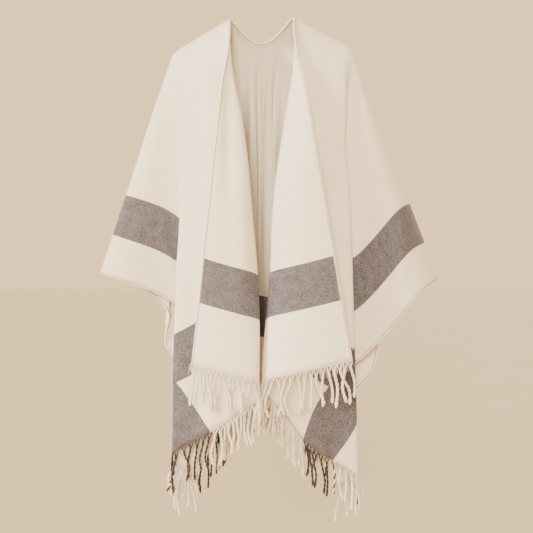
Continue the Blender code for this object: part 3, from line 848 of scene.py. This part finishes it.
class PonchoEdging(bpy.types.PropertyGroup):
    """Sizes and colours of the overlocked edges."""

    wall: length_property("Cloth thickness", "Thickness that the thread goes round", WALL)
    width: length_property("Width", "How far the thread reaches in from the edge", 5.0 * MM)
    stand: length_property("Stand", "How far it stands off the cloth", 0.5 * MM)
    stitch: length_property("Stitch height", "How far a turn of thread stands out", 0.35 * MM)
    # About 3 mm on the real one, drawn wider so that it shows
    pitch: length_property("Stitch pitch", "Between two stitches", 4.6 * MM)
    thread_pale: colour_property("Pale thread", "Thread at the very edge", "#EFE3D3")
    thread_tan: colour_property("Tan thread", "Thread at the needle line", "#B98C62")


class PonchoFringe(bpy.types.PropertyGroup):
    """Sizes and colours of the twisted fringe."""

    length: length_property("Length", "Length of a strand", 82 * MM)
    ply: length_property("Ply thickness", "Thickness of one of a strand's two plies", 4.6 * MM)
    twist: length_property("Twist", "Length of one turn of the two plies", 20 * MM)
    bend: length_property("Bend", "Greatest sideways bend of a strand", 9 * MM)
    side_inset: length_property("Side stripe inset", "From a side edge to its stripe", SIDE_INSET)
    side_band: length_property("Side stripe width", "Width of a side edge's stripe", SIDE_BAND)
    cream: colour_property("Cream", "Cream yarn in the light", "#EEE0C8")
    # Painted shade between a cream yarn's fibres
    cream_painted_shade: colour_property("Cream between fibres", "Cream yarn between fibres", "#D2BF9C")
    brown: colour_property("Brown", "Brown yarn in the light", "#3E2E2B")
    # Painted shade between a brown yarn's fibres
    brown_painted_shade: colour_property("Brown between fibres", "Brown yarn between fibres", "#2E2221")


class PonchoStage(bpy.types.PropertyGroup):
    """The studio: floor, light and camera."""

    floor: length_property("Floor", "Height of the floor from the shoulder line", -1.45)
    backdrop: colour_property("Backdrop", "Plain warm backdrop paper", "#EBC794")
    paper: strength_property("Backdrop brightness", "Brightness of the backdrop paper", 2.1)
    ceiling: strength_property("Ceiling brightness", "Brightness above the backdrop", 0.8)
    key: strength_property("Key light", "Soft light from the upper left", 7.0)
    front: strength_property("Front light", "Lamp beside the camera", 5.2)
    back: strength_property("Back light", "Weak light from behind", 3.0)
    distance: length_property("Camera distance", "From the shoulder line to the camera", 3.5)


class PONCHO_OT_edging(bpy.types.Operator):
    """Overlocked thread along the opening edges, the neckline and the side edges"""

    bl_idname = "poncho.edging"
    bl_label = "Overlocked edging"

    def execute(self, context):
        edging = context.scene.poncho_edging
        surface = cloth_surface()
        index = surface["index"]
        material = overlock_thread(edging)

        def stitched(runs, spacing):
            """The thread along a path through runs of edge points and their inner neighbours."""
            line = surface["points"][np.concatenate([edge for edge, _ in runs])]
            inner = surface["points"][np.concatenate([inner for _, inner in runs])]
            return stitched_edge(*edge_path(line, line - inner, spacing), edging)

        # From the left hem up the opening, round the back of the neck and down to the right hem.
        # The middle of the neckline counts once.
        runs = []
        for side, first in ((LEFT, 0), (RIGHT, 1)):
            front, back = index[side, FRONT], index[side, BACK]
            neck = slice(first, NECK_COLUMNS + 1)
            half = [(back[neck, 0], back[neck, 1]), (front[0, 1:], front[1, 1:])]
            if side == LEFT:
                half = [(edge[::-1], inner[::-1]) for edge, inner in half[::-1]]
            runs += half
        points, quads, inward = stitched(runs, 1.3 * MM)
        piece = make_piece("opening_edging", points, quads, material, {"inward": inward})

        parts = []
        for side in (LEFT, RIGHT):
            runs = []
            for face in (FRONT, BACK):
                number = index[side, face]
                columns = np.arange(surface["hems"][side, face][-1], len(number))[::face * -1]
                runs.append((number[columns, -1], number[columns, -2]))
            parts.append(stitched(runs, 1.6 * MM))
        points, quads, inward = join_parts(parts)
        piece = make_piece("side_edging", points, quads, material, {"inward": inward})
        return {"FINISHED"}


class PONCHO_OT_fringe(bpy.types.Operator):
    """Twisted two-ply strands along the hems of the two fronts and of the back"""

    bl_idname = "poncho.fringe"
    bl_label = "Twisted fringe"

    def execute(self, context):
        fringe = context.scene.poncho_fringe
        surface = cloth_surface()
        material = twisted_yarn(fringe)
        chance = np.random.default_rng(SEED)
        for node, hems in (
            ("left_front_fringe", [(LEFT, FRONT)]),
            ("right_front_fringe", [(RIGHT, FRONT)]),
            ("back_fringe", [(LEFT, BACK), (RIGHT, BACK)]),
        ):
            parts = []
            for side, face in hems:
                hem = strand_roots(surface, side, face)
                parts += yarn_strands(hem, fringe, chance)
                parts.append(frayed_fibres(hem, fringe, chance))
            points, quads, painted_ply_light, dark = join_parts(parts)
            attributes = {"painted_ply_light": painted_ply_light, "dark": dark}
            piece = make_piece(node + "_yarn", points, quads, material, attributes)
            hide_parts(node)
        return {"FINISHED"}


class PONCHO_OT_cloth(bpy.types.Operator):
    """The one length of brushed wool, draped, with its stripes and creases"""

    bl_idname = "poncho.cloth"
    bl_label = "Draped cloth"

    def execute(self, context):
        cloth = context.scene.poncho_cloth
        surface = cloth_surface()
        points, faces = surface["points"], surface["faces"]
        piece = make_piece("poncho_cloth", points, faces, brushed_wool(cloth), uv=surface["cut"])
        wall = piece.modifiers.new("wall", "SOLIDIFY")
        wall.thickness = cloth.wall
        wall.offset = 0.0
        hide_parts("left_front", "right_front", "back")
        return {"FINISHED"}


class PONCHO_OT_stage(bpy.types.Operator):
    """Plain pale floor, soft studio light and the camera of the photograph"""

    bl_idname = "poncho.stage"
    bl_label = "Studio"

    def execute(self, context):
        stage = context.scene.poncho_stage
        for name in ("floor", "camera", "key_light", "front_light", "back_light"):
            old = bpy.data.objects.get(name)
            if old:
                bpy.data.objects.remove(old, do_unlink=True)

        # Painted board, matt and slightly uneven
        finish = {"Roughness": 0.9, "Specular IOR Level": 0.1}
        material, tree, shader = new_material("painted studio floor", finish)
        place = add_node(tree, "TexCoord", (), "Object")
        lumps = {"Scale": LUMP / 0.4, "Detail": 2.0, "Roughness": 0.55}
        patch = add_node(tree, "TexNoise", {"Vector": place, **lumps}, "Fac")
        ends = {FIRST: srgb("#CAB48D"), SECOND: srgb("#CFBA95")}
        paint = add_node(tree, "Mix", {FACTOR: patch, **ends}, MIXED, data_type="RGBA")
        tree.links.new(paint, shader.inputs["Base Color"])
        mesh = bpy.data.meshes.new("floor")
        signs = ((-1, -1), (1, -1), (1, 1), (-1, 1))
        corners = [(FLOOR_REACH * x, FLOOR_REACH * y, stage.floor) for x, y in signs]
        mesh.from_pydata(corners, [], [(0, 1, 2, 3)])
        mesh.materials.append(material)
        floor = bpy.data.objects.new("floor", mesh)
        context.scene.collection.objects.link(floor)

        # A lit paper wall stands all round, and the ceiling above it gives less light
        world = bpy.data.worlds.new("studio")
        world.use_nodes = True
        tree = world.node_tree
        height = add_node(tree, "TexCoord", (), "Generated")
        height = add_node(tree, "SeparateXYZ", (height,), "Z")
        height = add_node(tree, "Math", (height,), operation="ABSOLUTE")
        ends = {"From Min": 0.2, "From Max": 0.42, "To Min": stage.paper, "To Max": stage.ceiling}
        glow = add_node(
            tree, "MapRange", {"Value": height, **ends}, interpolation_type="SMOOTHSTEP"
        )
        background = tree.nodes["Background"].inputs
        tree.links.new(glow, background["Strength"])
        background["Color"].default_value = srgb(stage.backdrop)
        context.scene.world = world

        # Softness, tilt from straight down, and turn about the vertical are in degrees
        for name, strength, softness, tilt, turn in (
            ("key_light", stage.key, 12, 62, -63),  # from the upper left
            ("front_light", stage.front, 12, 80, -4),  # reaches in between the lapels
            ("back_light", stage.back, 40, 62, 150),  # for the views from behind
        ):
            light = bpy.data.lights.new(name, "SUN")
            light.energy = strength
            light.angle = math.radians(softness)
            light.color = srgb("#FFF9F0")[:3]
            lamp = bpy.data.objects.new(name, light)
            lamp.rotation_euler = (math.radians(tilt), 0.0, math.radians(turn))
            context.scene.collection.objects.link(lamp)

        lens = bpy.data.cameras.new("camera")
        lens.sensor_width = 36.0
        lens.lens = FOCAL_LENGTH
        lens.clip_start, lens.clip_end = 0.05, 200.0
        camera = bpy.data.objects.new("camera", lens)
        camera.location = (CAMERA_X, -stage.distance, CAMERA_Z)
        camera.rotation_euler = (math.radians(90), 0.0, 0.0)
        context.scene.collection.objects.link(camera)
        context.scene.camera = camera
        return {"FINISHED"}


class PONCHO_PT_sidebar(bpy.types.Panel):
    """The steps that make the poncho, and their settings"""

    bl_idname = "PONCHO_PT_sidebar"
    bl_label = "Fringed poncho"
    bl_space_type = "VIEW_3D"
    bl_region_type = "UI"
    bl_category = "Poncho"

    def draw(self, context):
        for operator, name, _ in STEPS:
            box = self.layout.box()
            box.operator(operator.bl_idname, text=operator.bl_label)
            settings = getattr(context.scene, name)
            for setting in settings.__annotations__:
                box.prop(settings, setting)


# Each step's operator, with the name and the class of its settings
STEPS = (
    (PONCHO_OT_edging, "poncho_edging", PonchoEdging),
    (PONCHO_OT_fringe, "poncho_fringe", PonchoFringe),
    (PONCHO_OT_cloth, "poncho_cloth", PonchoCloth),
    (PONCHO_OT_stage, "poncho_stage", PonchoStage),
)


def register():
    """Register the classes, and put their settings on the scene."""
    for operator, name, group in STEPS:
        bpy.utils.register_class(group)
        bpy.utils.register_class(operator)
        setattr(bpy.types.Scene, name, bpy.props.PointerProperty(type=group))
    bpy.utils.register_class(PONCHO_PT_sidebar)


def unregister():
    """Undo register, in reverse order."""
    bpy.utils.unregister_class(PONCHO_PT_sidebar)
    for operator, name, group in reversed(STEPS):
        delattr(bpy.types.Scene, name)
        bpy.utils.unregister_class(operator)
        bpy.utils.unregister_class(group)


def main():
    """Make every piece and the stage."""
    register()
    bpy.ops.poncho.edging()
    bpy.ops.poncho.fringe()
    bpy.ops.poncho.cloth()
    bpy.ops.poncho.stage()


if __name__ == "__main__":
    main()
